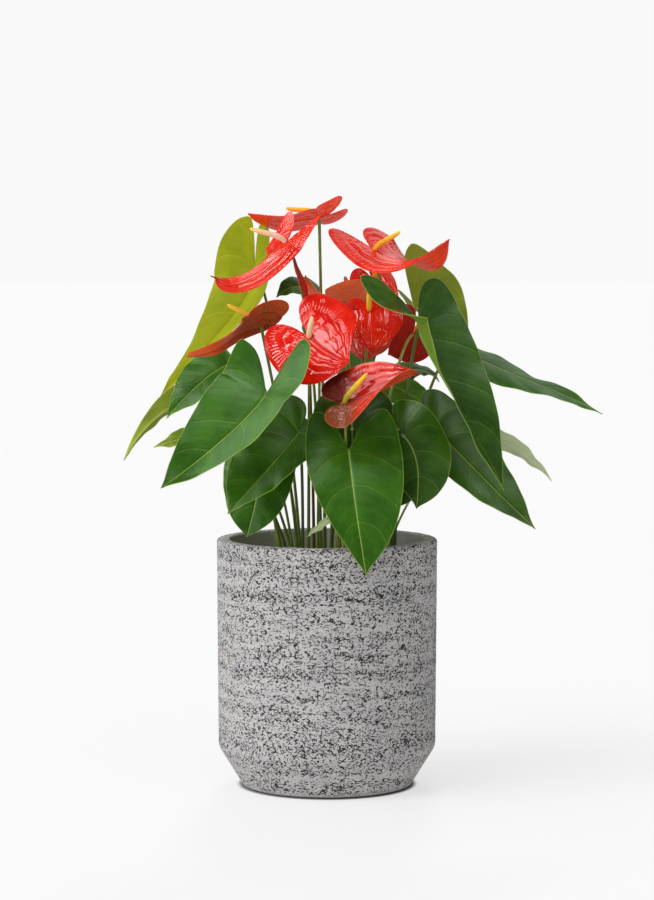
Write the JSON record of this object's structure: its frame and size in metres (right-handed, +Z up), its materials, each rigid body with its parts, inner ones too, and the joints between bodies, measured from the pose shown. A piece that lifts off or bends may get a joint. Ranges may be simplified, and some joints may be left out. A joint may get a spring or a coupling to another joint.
{
  "type": "potted anthurium",
  "caption": "Anthurium plant with heart-shaped leaves and glossy red blooms, standing in a round cement planter with a tapered foot.",
  "frame": {"origin": "centre of the planter's flat bottom face", "axes": "+Z up along the planter's axis; -Y towards the side seen in the picture; +X to the right of someone looking along +Y"},
  "size_m": [0.5283, 0.3287, 0.64],
  "materials": {
    "cement": "matte light-grey cement with small dark pits in streaky bands",
    "potting_mix": "dark rough peat with bark crumbs",
    "leaf_green": "satin mid green, pale midrib, veins and margin line",
    "leaf_dark": "satin dark green, pale midrib, veins and margin line",
    "leaf_bright": "satin fresh green",
    "leaf_lime": "satin yellow-green young leaf",
    "leaf_olive": "matte olive underside",
    "leaf_pale": "matte pale green",
    "stalk_green": "satin yellow-green, reddish in places",
    "spathe_red": "glossy waxy red with raised veins",
    "spathe_coral": "glossy waxy coral red with raised veins",
    "spathe_rust": "glossy rust brown-red with raised veins",
    "bud_red": "satin dark red, rolled",
    "spadix_yellow": "fine-pored golden yellow",
    "spadix_cream": "fine-pored cream, yellow at the end"
  },
  "bodies": {
    "root": {"planter": "cement", "potting_mix": "potting_mix", "leaf_front": "leaf_green", "leaf_left_large": "leaf_green", "leaf_left_inner": "leaf_dark", "leaf_left_low": "leaf_green", "leaf_right_low": "leaf_dark", "leaf_right_wide": "leaf_dark", "leaf_right_long": "leaf_dark", "leaf_right_olive": "leaf_olive", "leaf_right_far": "leaf_dark", "leaf_right_pale": "leaf_pale", "leaf_left_mid": "leaf_green", "leaf_left_twisted": "leaf_olive", "leaf_left_small": "leaf_olive", "leaf_inner_back": "leaf_green", "leaf_inner_bright": "leaf_bright", "leaf_inner_dark": "leaf_dark", "leaf_inner_middle": "leaf_dark", "leaf_inner_top": "leaf_dark", "leaf_lime": "leaf_lime", "leaf_back_left": "leaf_green", "leaf_back_middle": "leaf_green", "leaf_back_right": "leaf_green", "sheath_strap": "leaf_pale", "bloom_centre_spathe": "spathe_red", "bloom_centre_spadix": "spadix_cream", "bloom_centre_stalk": "stalk_green", "bloom_inner_spathe": "spathe_red", "bloom_inner_spadix": "spadix_yellow", "bloom_inner_stalk": "stalk_green", "bloom_right_top_spathe": "spathe_coral", "bloom_right_top_spadix": "spadix_yellow", "bloom_right_top_stalk": "stalk_green", "bloom_left_top_spathe": "spathe_coral", "bloom_left_top_spadix": "spadix_cream", "bloom_left_top_stalk": "stalk_green", "bloom_top_spathe": "spathe_coral", "bloom_top_spadix": "spadix_yellow", "bloom_top_stalk": "stalk_green", "bloom_left_brown_spathe": "spathe_rust", "bloom_left_brown_spadix": "spadix_yellow", "bloom_left_brown_stalk": "stalk_green", "bloom_orange_back_spathe": "spathe_coral", "bloom_orange_back_spadix": "spadix_yellow", "bloom_orange_back_stalk": "stalk_green", "bloom_back_spathe": "spathe_red", "bloom_back_spadix": "spadix_yellow", "bloom_back_stalk": "stalk_green", "bloom_dark_back_spathe": "spathe_rust", "bloom_dark_back_spadix": "spadix_yellow", "bloom_dark_back_stalk": "stalk_green", "bloom_pink_spathe": "spathe_coral", "bloom_pink_spadix": "spadix_yellow", "bloom_pink_stalk": "stalk_green", "bloom_front_low_spathe": "spathe_red", "bloom_front_low_spadix": "spadix_yellow", "bloom_front_low_stalk": "stalk_green", "bud_spathe": "bud_red", "bud_stalk": "stalk_green"}
  },
  "joints": []
}
